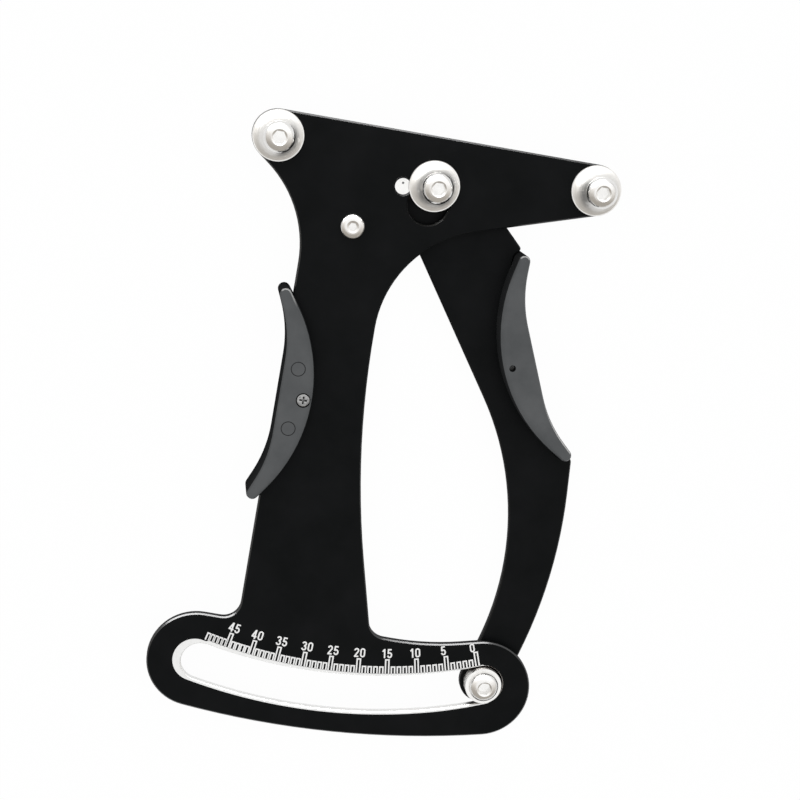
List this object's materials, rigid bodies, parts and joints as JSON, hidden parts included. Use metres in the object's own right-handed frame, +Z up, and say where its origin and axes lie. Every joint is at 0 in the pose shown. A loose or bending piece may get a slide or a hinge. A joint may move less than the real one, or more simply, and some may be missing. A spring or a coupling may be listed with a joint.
{
  "type": "spoke tension meter",
  "caption": "Hand tool that bends a bicycle spoke between two fixed posts and a sprung moving post, with a pointer on a curved dial.",
  "frame": {"origin": "middle of the footprint, on the surface that the tool lies on", "axes": "+X along the line of the fixed posts, from left to right as the dial is read; +Y from the dial towards the posts; +Z up, out of the dial"},
  "size_m": [0.1362, 0.2112, 0.0236],
  "materials": {
    "black_plate": "satin black anodised",
    "grey_grip": "fine satin moulded",
    "turned_steel": "turned and polished",
    "stainless": "bright stainless",
    "zinc_steel": "bright zinc plated",
    "bronze": "plain sintered",
    "black_steel": "black oxide",
    "spring_steel": "bright drawn wire"
  },
  "bodies": {
    "dial_frame": {"main_plate": "black_plate", "fixed_post_left": "turned_steel", "fixed_post_right": "turned_steel", "fixed_post_screw_left": "stainless", "fixed_post_screw_right": "stainless", "fixed_post_nut_left": "zinc_steel", "fixed_post_nut_right": "zinc_steel", "pivot_pin": "stainless", "thrust_washer": "bronze", "tail_washer": "zinc_steel", "pivot_clip": "black_steel", "spring_anchor_screw": "stainless", "spring_spool": "zinc_steel", "return_spring": "spring_steel", "left_grip": "grey_grip", "left_grip_screw": "stainless"},
    "lever": {"lever_plate": "black_plate", "pivot_bush": "bronze", "spring_hook_pin": "zinc_steel", "moving_post": "turned_steel", "moving_post_screw": "stainless", "moving_post_nut": "zinc_steel", "pointer_bush": "turned_steel", "pointer_screw": "stainless", "pointer_nut": "zinc_steel", "right_grip": "grey_grip", "right_grip_screw": "stainless"}
  },
  "joints": [
    {"name": "lever_swing", "type": "hinge", "parent": "dial_frame", "child": "lever", "pos_m": [-0.0089, 0.08751, 0.00625], "axis": [0, 0, 1], "range_deg": [-32.4, 0], "stiffness_Nm_per_rad": 0.078, "springref_deg": 63.03, "deforming": ["return_spring"]}
  ]
}
